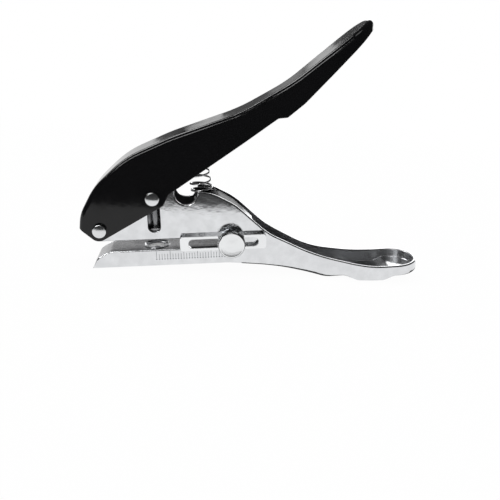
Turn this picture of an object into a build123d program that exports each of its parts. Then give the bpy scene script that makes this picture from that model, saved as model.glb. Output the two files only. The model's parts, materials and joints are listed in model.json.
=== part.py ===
"""Hole punch pliers: a chromed channel body with a throat, a black lever, a 6 mm punch and a depth guide.

Lengths are in millimetres. The pieces are modelled in the jaw frame: its origin is on the front pivot
axis in the middle of the width, X runs along the throat toward the handle ends, Y runs away from the
thumb screw and Z is up. At the end the whole tool is turned to stand on the front corner of its jaw and
on the heel of its handle, with the origin under the middle of its bounding box.
"""

from build123d import *
import math
import os

# Fits and clearances
running_clearance = 0.05
slide_gap = 0.05
seat_clearance = 0.01
cut_overrun = 1.0
pick_tolerance = 0.02

# Body channel
body_sheet = 1.2
body_width = 13.2
waist_width = 11.2
bowl_width = 20.4
bowl_end_flat = 1.2
handle_reach = 118.2
handle_drop = 24.2
web_start = 32.0
body_bend_radius = 1.4
edge_round = 0.6
rim_round = 0.4

# Throat and jaw
throat_drop = 4.6
throat_gap = 4.1
throat_end = 43.5
throat_end_radius = 1.9
jaw_height = 6.5
nose_ahead = 4.2
nose_length = 7.0
nose_round = 2.6
nose_shares = ((0.30, 0.60), (0.72, 0.87), (1.00, 1.00))

# Head walls, hidden between the sides of the lever
head_front = 6.0
head_peak = 14.9
head_shares = ((2.33, 1.00, 0.25), (0.08, 0.64, 0.45), (-1.00, 0.10, 0.30), (-1.00, -0.05, 0.03))
head_corner_share = 0.2

# Spring notch in both walls
notch_x = 31.4
notch_width = 8.2
notch_floor = 7.9
notch_corner_radius = 4.0
shoulder_height = 12.7

# Handle outline, each row a share of the handle's run behind the notch, of handle_drop and, for the
# bend, of that run
handle_top_shares = (
    (0.072, 0.471, 0.143),
    (0.164, 0.298, 0.286),
    (0.303, -0.165, 0.357),
    (0.508, -0.558, 0.643),
    (0.756, -0.744, 0.715),
    (1.057, -0.726, 0.000),
)
handle_base_shares = (
    (0.321, -0.700, 0.715),
    (0.568, -0.932, 0.143),
    (0.654, -0.898, 0.057),
    (0.710, -0.980, 0.057),
    (0.830, -0.980, 0.057),
    (0.877, -0.909, 0.057),
    (1.057, -0.915, 0.000),
)
base_bend_share = 0.127
base_bend_radius = 30.0
heel_row = 3

# Plan of the handle, each row a share of the handle's run behind the notch and the bend as a share of it
plan_head_shares = (0.321, 0.357)
plan_neck_shares = (0.417, 0.286)
plan_flare_shares = (0.500, 0.357)
plan_bowl_shares = (0.771, 0.429)

# Punch and die
punch_x = 19.5
punch_diameter = 6.0
punch_recess = 0.4
punch_crown = 3.2
punch_tip_cut = 0.8
punch_top_chamfer = 0.4
die_bush_margin = 0.55
die_bush_height = 4.5
die_bush_proud = 0.3
die_bush_chamfer = 0.1
die_relief_diameter = 6.8
die_land = 2.0
die_plate_thickness = 2.2
die_plate_end_gap = 0.5
guide_block_length = 11.0
guide_block_height = 3.7
guide_bush_wall = 1.2

# Pins
drive_pin_height = 11.1
drive_pin_diameter = 4.2
drive_slot_width = 4.7
drive_slot_floor = 1.9
pivot_pin_diameter = 3.6
pivot_slot_play = 0.5
pivot_slot_end_gap = 0.25
pin_head_diameter = 5.0
pin_head_height = 1.8
pin_head_chamfer = 0.4
pin_end_gap = 0.05
collar_diameter = 5.6
collar_height = 1.2
collar_chamfer = 0.3
spacer_diameter = 5.4

# Lever
lever_sheet = 1.0
lever_side_gap = 0.15
lever_reach = 98.1
lever_rise = 69.4
lever_neck_width = 12.8
lever_grip_width = 17.0
lever_tip_flat = 1.6
lever_bend_radius = 1.6
lever_close_angle = 23.0

# Lever outline, each row a share of lever_reach, of lever_rise and, for the bend, of lever_reach
lever_top_shares = (
    (-0.0738, 0.013, 0.000),
    (-0.0663, 0.086, 0.144),
    (-0.0092, 0.225, 0.256),
    (0.1081, 0.371, 0.358),
    (0.2754, 0.467, 0.716),
    (0.5286, 0.579, 0.614),
    (0.7095, 0.714, 0.612),
    (1.0405, 1.065, 0.000),
)
lever_base_shares = (
    (1.0405, 0.988, 0.000),
    (0.9849, 0.942, 0.040),
    (0.7546, 0.614, 0.122),
    (0.6932, 0.545, 0.015),
    (0.6609, 0.542, 0.015),
    (0.2575, 0.175, 0.020),
    (0.2350, 0.117, 0.015),
    (-0.0094, -0.070, 0.035),
)
lever_plan_head_shares = (0.54, 0.30)
lever_plan_neck_shares = (0.66, 0.40)
lever_plan_grip_shares = (0.86, 0.40)

# Return spring and its seats
spring_x = 37.2
spring_outer_diameter = 8.4
spring_wire = 0.7
spring_turns = 8.0
spring_end_pitch = 1.2
spring_end_turns = 1.5
spring_height = 20.4
spring_lean = 7.0
spring_seat_gap = 0.05
gap_samples = 50
turn_step = 0.0001
seat_sheet = 1.0
seat_start = 34.4
seat_height = 10.7
seat_run = 21.0
seat_fall = 10.6
seat_shares = ((0.0, 0.0, 0.0), (0.42, 0.066, 0.15), (0.676, 0.387, 0.35), (1.0, 1.0, 0.0))
seat_ring_height = 0.9
seat_ring_wall = 0.6
seat_ring_gap = 0.3
locator_stub_gap = 0.5
locator_stub_height = 3.0
locator_height = 4.0
locator_chamfer = 0.4

# Depth guide
guide_start = 28.4
guide_length = 31.4
guide_height = 5.5
guide_axis_drop = 6.2
guide_stand_off = 2.25
guide_sheet = 1.0
guide_corner_radius = 1.1
guide_slot_start = 3.0
guide_slot_end = 2.8
guide_slot_width = 3.4
flange_inset = 0.8
stop_height = 2.8
stop_reach = 6.0

# Thumb screw
screw_x = 47.0
stud_diameter = 3.0
stud_wall_gap = 0.15
knob_diameter = 10.0
knob_height = 3.0
knob_chamfer = 0.5
knurl_count = 40
knurl_depth = 0.25
washer_diameter = 7.2
washer_thickness = 0.5
nut_across = 5.5
nut_thickness = 2.4
nut_chamfer = 0.3
stud_tip = 0.8

# Sizes that follow from those above
notch_left = notch_x - notch_width / 2
notch_right = notch_x + notch_width / 2
handle_run = handle_reach - notch_right
bowl_end_radius = (bowl_width - bowl_end_flat) / 2
lever_tip_radius = (lever_grip_width - lever_tip_flat) / 2
wall_outside = body_width / 2
wall_inside = wall_outside - body_sheet
die_bush_diameter = 2 * (wall_inside - die_bush_margin)
guide_bush_diameter = punch_diameter + 2 * guide_bush_wall
lever_inside = wall_outside + lever_side_gap
lever_outside = lever_inside + lever_sheet
bend_lift = body_bend_radius - math.sqrt(body_bend_radius**2 - (body_bend_radius - body_sheet) ** 2)
throat_top = -throat_drop
jaw_top = throat_top - throat_gap
jaw_base = jaw_top - jaw_height
guide_axis = -guide_axis_drop
guide_face = -wall_outside - slide_gap - guide_stand_off
washer_face = guide_face - slide_gap - washer_thickness
knob_face = washer_face - knob_height
drive_arm = math.hypot(punch_x, drive_pin_height)
open_angle = math.degrees(math.asin(drive_pin_height / drive_arm))
closed_angle = math.radians(open_angle - lever_close_angle)
pivot_travel = drive_arm * math.cos(closed_angle) - punch_x


def direction(start, end):
    """Unit vector from one corner to the next, in the plane of an outline."""
    run = math.dist(start[:2], end[:2])
    return (end[0] - start[0]) / run, (end[1] - start[1]) / run


def offset_rows(rows, distance):
    """Rows of the outline that runs at a distance to the left of a chain of rows (x, z, bend)."""
    shifted = []
    for index, (x, z, bend) in enumerate(rows):
        before = direction(rows[index - 1], rows[index]) if index > 0 else None
        after = direction(rows[index], rows[index + 1]) if index + 1 < len(rows) else None
        before = before or after
        after = after or before
        level = before[0] * after[0] + before[1] * after[1]
        turn = before[0] * after[1] - before[1] * after[0]
        reach = distance / (1 + level)
        shift_x = -(before[1] + after[1]) * reach
        shift_z = (before[0] + after[0]) * reach
        inner_bend = max(bend - distance * math.copysign(1, turn), 0.0) if bend > 0 else 0.0
        shifted.append((x + shift_x, z + shift_z, inner_bend))
    return shifted


def outline(rows):
    """A flat face from a closed chain of corners (x, z, bend radius)."""
    points = [(x, z) for x, z, bend in rows]
    bends = [bend for x, z, bend in rows]
    return make_face(FilletPolyline(*points, radius=bends, close=True))


def side_slab(rows, near, far):
    """An outline in the side view, solid from near to far across the width."""
    return Pos(0, far, 0) * extrude(Plane.XZ * outline(rows), amount=far - near)


def plan_slab(half_rows, low, high):
    """A plan outline, given by its far half and mirrored, solid from low to high."""
    mirrored = [(x, -y, bend) for x, y, bend in reversed(half_rows)]
    return Pos(0, 0, low) * extrude(outline(list(half_rows) + mirrored), amount=high - low)


def rod(x, z, diameter, near, far):
    """A round bar across the width from near to far."""
    return Pos(x, (near + far) / 2, z) * Rot(X=90) * Cylinder(diameter / 2, far - near)


def upright(x, diameter, low, high):
    """A round bar along the punch direction from low to high."""
    return Pos(x, 0, (low + high) / 2) * Cylinder(diameter / 2, high - low)


def slot(x_left, x_right, z, width, near, far):
    """A straight slot with round ends between two end centres, cut across the width."""
    bar = Pos((x_left + x_right) / 2, (near + far) / 2, z) * Box(x_right - x_left, far - near, width)
    return bar + rod(x_left, z, width, near, far) + rod(x_right, z, width, near, far)


def rim_edges(solid, rows, reach):
    """Edges over an open chain of rows: those along both sides and the one across the far end."""
    points = [(x, z) for x, z, bend in rows]
    bends = [bend for x, z, bend in rows[1:-1]]
    line = Plane.XZ * FilletPolyline(*points, radius=bends)
    found = ShapeList()
    for edge in solid.edges():
        middle = edge @ 0.5
        shadow = Vertex(middle.X, 0, middle.Z)
        outside = abs(middle.Y) > pick_tolerance or middle.X > reach - pick_tolerance
        if outside and shadow.distance_to(line) < pick_tolerance:
            found.append(edge)
    return found


def handle_rows(shares):
    """Rows in the jaw frame from rows of shares of the handle's run and drop."""
    rows = []
    for along, up, bend in shares:
        rows.append((notch_right + along * handle_run, up * handle_drop, bend * handle_run))
    return rows


def lever_rows(shares):
    """Rows in the jaw frame from rows of shares of the lever's reach and rise."""
    return [(x * lever_reach, z * lever_rise, bend * lever_reach) for x, z, bend in shares]


def nose_rows():
    """Front of the jaw from its bottom corner up to the level of the die."""
    rows = [(-nose_ahead, jaw_base, 0.0)]
    for along, up in nose_shares:
        rows.append((along * nose_length - nose_ahead, jaw_base + up * jaw_height, nose_round))
    return rows


def body_base_rows():
    """Underside of the body from the front corner of the jaw to the tip of the handle."""
    start = (-nose_ahead, jaw_base, 0.0)
    bend = (notch_right + base_bend_share * handle_run, jaw_base, base_bend_radius)
    return [start, bend] + handle_rows(handle_base_shares)


def body_top_rows():
    """Top rim of the walls from the shoulder behind the spring to the tip of the handle."""
    return [(notch_right, shoulder_height, edge_round)] + handle_rows(handle_top_shares)


def body_side_rows():
    """Side view of the body, starting along its underside."""
    rows = body_base_rows() + body_top_rows()[::-1]
    rows.append((notch_right, notch_floor, notch_corner_radius))
    rows.append((notch_left, notch_floor, notch_corner_radius))
    rows.append((notch_left, head_peak, edge_round))
    for along, up, bend in head_shares:
        rows.append((along * head_front, up * head_peak, bend * head_peak))
    rows.append((-head_corner_share * head_front, throat_top, edge_round))
    rows.append((throat_end, throat_top, throat_end_radius))
    rows.append((throat_end, jaw_top, throat_end_radius))
    rows += reversed(nose_rows()[1:])
    return rows


def body_plan_rows():
    """Far half of the body's plan, from ahead of the head to the tip of the bowl."""
    ahead = -head_front - cut_overrun
    rows = [(ahead, wall_outside, 0.0)]
    halves = (wall_outside, waist_width / 2, waist_width / 2, bowl_width / 2)
    shares = (plan_head_shares, plan_neck_shares, plan_flare_shares, plan_bowl_shares)
    for half, (along, bend) in zip(halves, shares):
        rows.append((notch_right + along * handle_run, half, bend * handle_run))
    rows.append((handle_reach, bowl_width / 2, bowl_end_radius))
    return rows


def body_cavity():
    """Inside of the channel: open at the top, and below the jaw as far as the web's start."""
    inner_plan = offset_rows(body_plan_rows(), -body_sheet)
    inner_plan[-1] = (handle_reach - body_sheet, inner_plan[-1][1], bowl_end_radius - body_sheet)
    inner_plan[0] = (-head_front - 2 * cut_overrun, inner_plan[0][1], 0.0)
    floor = offset_rows([(web_start, jaw_base, 0.0)] + body_base_rows()[1:], body_sheet)
    top = head_peak + cut_overrun
    bottom = -handle_drop - cut_overrun
    rows = [(-head_front - 2 * cut_overrun, bottom, 0.0), (web_start, bottom, 0.0)]
    rows += floor
    rows.append((floor[-1][0], top, 0.0))
    rows.append((-head_front - 2 * cut_overrun, top, 0.0))
    side = side_slab(rows, -bowl_width, bowl_width)
    return side & plan_slab(inner_plan, bottom, top)


def make_body_channel():
    """Pressed body: two walls, the web under the handle and the closed bowl at its end."""
    side = side_slab(body_side_rows(), -bowl_width, bowl_width)
    blank = side & plan_slab(body_plan_rows(), -handle_drop - cut_overrun, head_peak + cut_overrun)
    blank = fillet(rim_edges(blank, body_base_rows(), handle_reach), body_bend_radius)
    channel = blank - body_cavity()
    channel = fillet(rim_edges(channel, body_top_rows(), handle_reach), rim_round)
    reach = body_width
    low = drive_slot_width / 2 - drive_slot_floor
    high = drive_pin_height + drive_slot_width / 2 - drive_pin_diameter / 2
    travel = Pos(punch_x, 0, (low + high) / 2) * Box(drive_slot_width, 2 * reach, high - low)
    channel -= travel + rod(punch_x, low, drive_slot_width, -reach, reach)
    channel -= rod(punch_x, high, drive_slot_width, -reach, reach)
    slot_width = pivot_pin_diameter + pivot_slot_play
    end_shift = pivot_slot_end_gap - pivot_slot_play / 2
    channel -= slot(-pivot_travel - end_shift, end_shift, 0, slot_width, -reach, reach)
    channel -= rod(screw_x, guide_axis, stud_diameter + 2 * stud_wall_gap, -reach, 0)
    return channel


def make_die_plate():
    """Hardened strip between the jaw's walls: the level top and the sloped nose, with the die's seat."""
    top = nose_rows()
    top[0] = (-nose_ahead, jaw_base, 0.0)
    top.append((throat_end - die_plate_end_gap, jaw_top, 0.0))
    under = offset_rows(top, -die_plate_thickness)
    strip = side_slab(top + under[::-1], -wall_inside, wall_inside)
    clear = jaw_base + bend_lift + running_clearance
    strip -= Pos(0, 0, clear - jaw_height / 2) * Box(handle_reach, body_width, jaw_height)
    seat = die_bush_diameter + 2 * seat_clearance
    return strip - upright(punch_x, seat, jaw_base, jaw_top + cut_overrun)


def make_die_bush():
    """Round cutting die, its rim a little proud of the jaw and its bore relieved below the land."""
    top = jaw_top + die_bush_proud
    base = top - die_bush_height
    bush = upright(punch_x, die_bush_diameter, base, top)
    bush = chamfer(bush.edges().filter_by(GeomType.CIRCLE), die_bush_chamfer)
    bore = upright(punch_x, punch_diameter + 2 * running_clearance, base - cut_overrun, top + cut_overrun)
    relief = upright(punch_x, die_relief_diameter, base - cut_overrun, top - die_land)
    return bush - bore - relief


def make_guide_block():
    """Block between the walls over the throat that carries the punch guide and strips the paper."""
    middle = throat_top + guide_block_height / 2
    block = Pos(punch_x, 0, middle) * Box(guide_block_length, 2 * wall_inside, guide_block_height)
    seat = guide_bush_diameter + 2 * seat_clearance
    return block - upright(punch_x, seat, throat_top - cut_overrun, throat_top + 2 * guide_block_height)


def make_guide_bush():
    """Sleeve that the punch runs in."""
    top = throat_top + guide_block_height
    sleeve = upright(punch_x, guide_bush_diameter, throat_top, top)
    bore = punch_diameter + 2 * running_clearance
    return sleeve - upright(punch_x, bore, throat_top - cut_overrun, top + cut_overrun)


def make_punch():
    """Round punch with a cross bore for the drive pin and a hollowed cutting end."""
    base = throat_top + punch_recess
    top = drive_pin_height + punch_crown
    punch = upright(punch_x, punch_diameter, base, top)
    punch = chamfer(punch.edges().filter_by(GeomType.CIRCLE).sort_by(Axis.Z)[-1], punch_top_chamfer)
    cross_bore = drive_pin_diameter + 2 * seat_clearance
    punch -= rod(punch_x, drive_pin_height, cross_bore, -body_width, body_width)
    hollow = (punch_diameter**2 / 4 + punch_tip_cut**2) / (2 * punch_tip_cut)
    return punch - rod(punch_x, base + punch_tip_cut - hollow, 2 * hollow, -body_width, body_width)


def make_pin(x, z, diameter):
    """Headed pin through both sides of the lever, the head toward the viewer."""
    face = -lever_outside - pin_end_gap
    head = Cylinder(pin_head_diameter / 2, pin_head_height, align=(Align.CENTER, Align.CENTER, Align.MIN))
    head = chamfer(head.edges().filter_by(GeomType.CIRCLE).sort_by(Axis.Z)[-1], pin_head_chamfer)
    head = Pos(x, face, z) * Rot(X=90) * head
    return head + rod(x, z, diameter, face, lever_outside + pin_end_gap + collar_height)


def make_collar(x, z, diameter):
    """Pressed collar that keeps a pin in on the far side."""
    near = lever_outside + pin_end_gap
    ring = Cylinder(collar_diameter / 2, collar_height, align=(Align.CENTER, Align.CENTER, Align.MIN))
    ring = chamfer(ring.edges().filter_by(GeomType.CIRCLE).sort_by(Axis.Z)[-1], collar_chamfer)
    ring = Pos(x, near, z) * Rot(X=-90) * ring
    bore = diameter + 2 * seat_clearance
    return ring - rod(x, z, bore, near - cut_overrun, near + collar_height + cut_overrun)


def make_pivot_spacer():
    """Tube on the pivot pin that keeps the sides of the lever apart."""
    near = -wall_inside + pin_end_gap
    tube = rod(0, 0, spacer_diameter, near, -near)
    return tube - rod(0, 0, pivot_pin_diameter + 2 * seat_clearance, -body_width, body_width)


def lever_plan_rows():
    """Far half of the lever's plan, from ahead of the nose to the tip."""
    rows = [(-lever_rise, lever_outside, 0.0)]
    halves = (lever_outside, lever_neck_width / 2, lever_grip_width / 2)
    shares = (lever_plan_head_shares, lever_plan_neck_shares, lever_plan_grip_shares)
    for half, (along, bend) in zip(halves, shares):
        rows.append((along * lever_reach, half, bend * lever_reach))
    rows.append((lever_reach, lever_grip_width / 2, lever_tip_radius))
    return rows


def lever_cavity():
    """Inside of the lever: open below and ahead of the cut end of its web."""
    inner_plan = offset_rows(lever_plan_rows(), -lever_sheet)
    inner_plan[-1] = (lever_reach - lever_sheet, inner_plan[-1][1], lever_tip_radius - lever_sheet)
    ceiling = offset_rows(lever_rows(lever_top_shares), -lever_sheet)
    low = -lever_rise
    rows = [(ceiling[0][0], low, 0.0)] + ceiling
    rows.append((ceiling[-1][0], low, 0.0))
    side = side_slab(rows, -lever_grip_width, lever_grip_width)
    return side & plan_slab(inner_plan, low, 2 * lever_rise)


def make_lever_shell():
    """Pressed lever: web over the top and round the nose, two sides and the closed tip."""
    rows = lever_rows(lever_top_shares) + lever_rows(lever_base_shares)
    side = side_slab(rows, -lever_grip_width, lever_grip_width)
    blank = side & plan_slab(lever_plan_rows(), -lever_rise, 2 * lever_rise)
    blank = fillet(rim_edges(blank, lever_rows(lever_top_shares), lever_reach), lever_bend_radius)
    shell = blank - lever_cavity()
    reach = lever_grip_width
    shell -= rod(punch_x, drive_pin_height, drive_pin_diameter + 2 * running_clearance, -reach, reach)
    return shell - rod(0, 0, pivot_pin_diameter + 2 * seat_clearance, -reach, reach)


def settle(turns):
    """Turns past the closed end, eased in over spring_end_turns."""
    share = turns / spring_end_turns
    if share < 1:
        return spring_end_turns * (share**3 - share**4 / 2)
    return spring_end_turns * (share - 0.5)


def spring_rise(turn):
    """Height of the wire's centre after a number of turns, closer wound at both ends."""
    half_turns = spring_turns / 2
    open_pitch = (spring_height / 2 - spring_end_pitch * half_turns) / settle(half_turns)
    if turn > half_turns:
        return spring_height - spring_rise(spring_turns - turn)
    return spring_end_pitch * turn + open_pitch * settle(turn)


def spring_point(turn):
    """Point of the wire's centre line over the seat; the coils shift toward the nose as they rise."""
    radius = (spring_outer_diameter - spring_wire) / 2
    angle = 2 * math.pi * turn
    rise = spring_rise(turn)
    middle = spring_x - rise * math.tan(math.radians(spring_lean))
    foot = seat_height + spring_wire / 2 + spring_seat_gap
    return Vector(middle + radius * math.cos(angle), radius * math.sin(angle), foot + rise)


def spring_tangent(turn):
    """Direction of the wire at a number of turns."""
    return (spring_point(turn + turn_step) - spring_point(turn - turn_step)).normalized()


def biarc(start, start_tangent, end, end_tangent):
    """Two arcs that join two points with given directions."""
    chord = end - start
    both = start_tangent + end_tangent
    spread = 2 * (1 - start_tangent.dot(end_tangent))
    along = chord.dot(both)
    reach = (math.sqrt(along**2 + spread * chord.dot(chord)) - along) / spread
    joint = (start + end + (start_tangent - end_tangent) * reach) * 0.5
    first = TangentArc(start, joint, tangent=start_tangent)
    return [first, TangentArc(joint, end, tangent=first % 1)]


def make_return_spring():
    """Compression spring of round wire, one tube on biarcs of a quarter turn with straight ends."""
    steps = round(4 * spring_turns)
    turns = [spring_turns * step / steps for step in range(steps + 1)]
    start = spring_point(0)
    end = spring_point(spring_turns)
    path = [Line(start - spring_tangent(0) * spring_wire, start)]
    for turn, after in zip(turns, turns[1:]):
        reached = (spring_point(after), spring_tangent(after))
        path += biarc(spring_point(turn), spring_tangent(turn), *reached)
    path.append(Line(end, end + spring_tangent(spring_turns) * spring_wire))
    wire = Wire([edge for piece in path for edge in piece.edges()])
    section = Plane(origin=wire @ 0, z_dir=wire % 0) * Circle(spring_wire / 2)
    spring = sweep(section, path=wire)
    count = round(gap_samples * spring_turns)
    samples = [spring_point(spring_turns * index / count) for index in range(count + 1)]
    pairs = [(i, j) for i in range(count) for j in range(i + gap_samples // 2, count + 1)]
    gap = min((samples[i] - samples[j]).length for i, j in pairs) - spring_wire
    print(f"return spring: {spring_turns:g} turns, least gap to itself {gap:.2f} mm")
    return spring


def make_spring_seat():
    """Bridge between the walls: it carries the spring and follows the slope behind."""
    top = []
    for along, down, bend in seat_shares:
        top.append((seat_start + along * seat_run, seat_height - down * seat_fall, bend * seat_run))
    under = offset_rows(top, -seat_sheet)
    seat = side_slab(top + under[::-1], -wall_inside, wall_inside)
    inner = spring_outer_diameter + 2 * seat_ring_gap
    outer = inner + 2 * seat_ring_wall
    rim = seat_height + seat_ring_height
    ring = upright(spring_x, outer, seat_height - seat_sheet / 2, rim)
    ring -= upright(spring_x, inner, seat_height - seat_sheet, rim + cut_overrun)
    keep = Pos(seat_start + seat_run / 2, 0, seat_height) * Box(seat_run, 2 * wall_inside, seat_fall)
    return seat + (ring & keep)


def make_spring_locator():
    """Boss under the lever's web, level over the spring, with a stub inside its top turn."""
    top = seat_height + spring_height + spring_wire + 2 * spring_seat_gap
    middle = spring_x - spring_height * math.tan(math.radians(spring_lean))
    stub_diameter = spring_outer_diameter - 2 * spring_wire - 2 * locator_stub_gap
    base = upright(middle, spring_outer_diameter, top, top + 2 * locator_height)
    stub = Cylinder(stub_diameter / 2, 2 * locator_stub_height)
    stub = chamfer(stub.edges().filter_by(GeomType.CIRCLE), locator_chamfer)
    return (base + Pos(middle, 0, top) * stub) & lever_cavity()


def make_depth_guide():
    """Slotted guide bar with flanges toward the wall and a stop that reaches into the throat."""
    end = guide_start + guide_length
    low = guide_axis - guide_height / 2
    high = guide_axis + guide_height / 2
    back = -wall_outside - slide_gap
    corners = [(guide_start, low), (end, low), (end, high), (guide_start, high)]
    rows = [(x, z, guide_corner_radius) for x, z in corners]
    plate = side_slab(rows, guide_face, guide_face + guide_sheet)
    depth = back - guide_face
    middle = (guide_start + end) / 2
    for level in (low + guide_sheet / 2, high - guide_sheet / 2):
        flange = Box(guide_length - 2 * guide_corner_radius - 2 * flange_inset, depth, guide_sheet)
        plate += Pos(middle, back - depth / 2, level) * flange
    centre_left = guide_start + guide_slot_start + guide_slot_width / 2
    centre_right = end - guide_slot_end - guide_slot_width / 2
    plate -= slot(centre_left, centre_right, guide_axis, guide_slot_width, guide_face - cut_overrun, back)
    stop_middle = (throat_top + jaw_top) / 2
    stop_length = stop_reach - wall_outside - guide_face
    stop = Box(guide_sheet, stop_length, stop_height)
    plate += Pos(guide_start + guide_sheet / 2, guide_face + stop_length / 2, stop_middle) * stop
    return plate


def make_thumb_knob():
    """Knurled round knob with chamfered rims."""
    body = Cylinder(knob_diameter / 2, knob_height, align=(Align.CENTER, Align.CENTER, Align.MIN))
    body = chamfer(body.edges().filter_by(GeomType.CIRCLE), knob_chamfer)
    points = []
    for index in range(2 * knurl_count):
        radius = knob_diameter / 2 - knurl_depth * (index % 2)
        angle = math.pi * index / knurl_count
        points.append((radius * math.cos(angle), radius * math.sin(angle)))
    knurl = extrude(make_face(Polyline(*points, close=True)), amount=knob_height)
    knob = Pos(screw_x, washer_face, guide_axis) * Rot(X=90) * (body & knurl)
    bore = stud_diameter + 2 * seat_clearance
    return knob - rod(screw_x, guide_axis, bore, knob_face + knob_height / 2, 0)


def make_thumb_stud():
    """Stud of the thumb screw, pressed into the knob and through the wall into its nut."""
    far = -wall_inside + nut_thickness + stud_tip
    stud = rod(screw_x, guide_axis, stud_diameter, knob_face + knob_height / 2, far)
    return chamfer(stud.edges().filter_by(GeomType.CIRCLE).sort_by(Axis.Y)[-1], nut_chamfer)


def make_knob_washer():
    """Washer between the knob and the guide bar."""
    ring = rod(screw_x, guide_axis, washer_diameter, washer_face, washer_face + washer_thickness)
    bore = stud_diameter + 2 * running_clearance
    return ring - rod(screw_x, guide_axis, bore, washer_face - cut_overrun, guide_face)


def make_clamp_nut():
    """Square nut on the inside of the wall that the thumb screw turns in."""
    middle = -wall_inside + nut_thickness / 2
    nut = Pos(screw_x, middle, guide_axis) * Box(nut_across, nut_thickness, nut_across)
    nut = chamfer(nut.edges().filter_by(Axis.Y), nut_chamfer)
    return nut - rod(screw_x, guide_axis, stud_diameter + 2 * running_clearance, -body_width, 0)


def standing_turn():
    """Angle, in degrees, that brings the jaw's front corner and the handle's heel onto one floor."""
    rows = body_base_rows()
    index = heel_row + 2
    radius = rows[index][2]
    heel = offset_rows(rows[index - 1 : index + 2], radius)[1]
    run = heel[0] - rows[0][0]
    fall = rows[0][1] + bend_lift - heel[1]
    return math.degrees(math.atan2(fall, run) + math.asin(radius / math.hypot(run, fall)))


def standing_place(pieces):
    """Location that stands the tool on Z = 0 with the origin under the middle of its box."""
    turn = Rot(Y=-standing_turn())
    box = Compound(children=[turn * piece for piece in pieces.values()]).bounding_box()
    return Pos(-(box.min.X + box.max.X) / 2, -(box.min.Y + box.max.Y) / 2, -box.min.Z) * turn


def make_pieces():
    """Every piece of the tool in the jaw frame, by its node's name."""
    return {
        "body_channel": make_body_channel(),
        "die_plate": make_die_plate(),
        "die_bush": make_die_bush(),
        "punch_guide_block": make_guide_block(),
        "punch_guide_bush": make_guide_bush(),
        "spring_seat": make_spring_seat(),
        "clamp_nut": make_clamp_nut(),
        "punch": make_punch(),
        "drive_pin": make_pin(punch_x, drive_pin_height, drive_pin_diameter),
        "drive_pin_collar": make_collar(punch_x, drive_pin_height, drive_pin_diameter),
        "lever_shell": make_lever_shell(),
        "pivot_pin": make_pin(0, 0, pivot_pin_diameter),
        "pivot_pin_collar": make_collar(0, 0, pivot_pin_diameter),
        "pivot_spacer": make_pivot_spacer(),
        "spring_locator": make_spring_locator(),
        "return_spring": make_return_spring(),
        "depth_guide": make_depth_guide(),
        "thumb_knob": make_thumb_knob(),
        "thumb_stud": make_thumb_stud(),
        "knob_washer": make_knob_washer(),
    }


def main():
    """Build the pieces, stand the tool up and write one file for each piece."""
    pieces = make_pieces()
    place = standing_place(pieces)
    os.makedirs("parts", exist_ok=True)
    for name, piece in pieces.items():
        export_step(place * piece, f"parts/{name}.step")


if __name__ == "__main__":
    main()
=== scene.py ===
"""Looks for a pair of hole punch pliers: chromed body, black lever, depth guide and thumb screw.

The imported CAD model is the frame. Its pressed and ground solids stay and get their finishes here.
The return spring, the die, the two headed pins and the thumb knob are built again as finer pieces
in the same places, and the ruler ticks are a piece of their own. Lengths are in metres, unless
their name ends in mm.
"""

import json
import logging
import math
from dataclasses import dataclass
from enum import Enum
from typing import Any, Protocol

import bmesh
import bpy
import numpy as np
from mathutils import Matrix, Vector

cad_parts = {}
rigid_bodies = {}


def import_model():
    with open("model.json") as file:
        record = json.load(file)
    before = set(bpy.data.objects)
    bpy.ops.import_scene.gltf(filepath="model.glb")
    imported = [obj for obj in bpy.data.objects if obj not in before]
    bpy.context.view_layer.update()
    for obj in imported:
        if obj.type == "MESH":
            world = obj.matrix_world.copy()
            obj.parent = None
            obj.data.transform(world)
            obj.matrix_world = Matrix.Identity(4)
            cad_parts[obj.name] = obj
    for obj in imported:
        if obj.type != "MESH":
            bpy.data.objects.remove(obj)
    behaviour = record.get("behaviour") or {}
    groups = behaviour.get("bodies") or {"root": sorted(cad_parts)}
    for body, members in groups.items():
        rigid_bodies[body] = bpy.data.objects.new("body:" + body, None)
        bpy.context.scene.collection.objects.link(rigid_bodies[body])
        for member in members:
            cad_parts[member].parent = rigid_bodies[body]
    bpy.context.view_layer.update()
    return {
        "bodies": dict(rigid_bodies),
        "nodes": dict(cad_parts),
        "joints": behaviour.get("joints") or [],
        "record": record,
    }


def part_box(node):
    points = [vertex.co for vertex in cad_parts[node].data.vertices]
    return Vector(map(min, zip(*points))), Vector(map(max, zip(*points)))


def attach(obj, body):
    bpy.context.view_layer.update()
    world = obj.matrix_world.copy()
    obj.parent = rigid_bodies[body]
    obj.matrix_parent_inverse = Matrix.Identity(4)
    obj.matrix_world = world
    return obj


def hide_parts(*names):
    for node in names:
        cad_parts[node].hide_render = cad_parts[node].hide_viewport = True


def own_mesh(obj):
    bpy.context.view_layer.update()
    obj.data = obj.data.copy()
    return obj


MILLIMETRE = 0.001
WELD = 1e-8
REPORT = logging.getLogger("hole_punch_pliers")

Rows = np.ndarray
Socket = bpy.types.NodeSocket
Span = tuple[float, float]
Place = tuple[float, float, float]
Colour = tuple[float, float, float]
Made = list[tuple[bpy.types.Object, str]]

# The part of its range in which a noise's values mostly lie.
NOISE_SPAN: Span = (0.3, 0.7)


class Finish(Enum):
    """The record's material slots, by name. Nothing here uses them."""

    CHROME_BODY = "chrome_body"
    CHROME_SMALL = "chrome_small"
    SPRING_STEEL = "spring_steel"
    PIN_STEEL = "pin_steel"
    DIE_STEEL = "die_steel"


# The tool's own frame


def middle_of(node: str) -> Place:
    """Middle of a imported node's box."""
    low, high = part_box(node)
    return tuple((a + b) / 2 for a, b in zip(low, high, strict=True))


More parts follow.
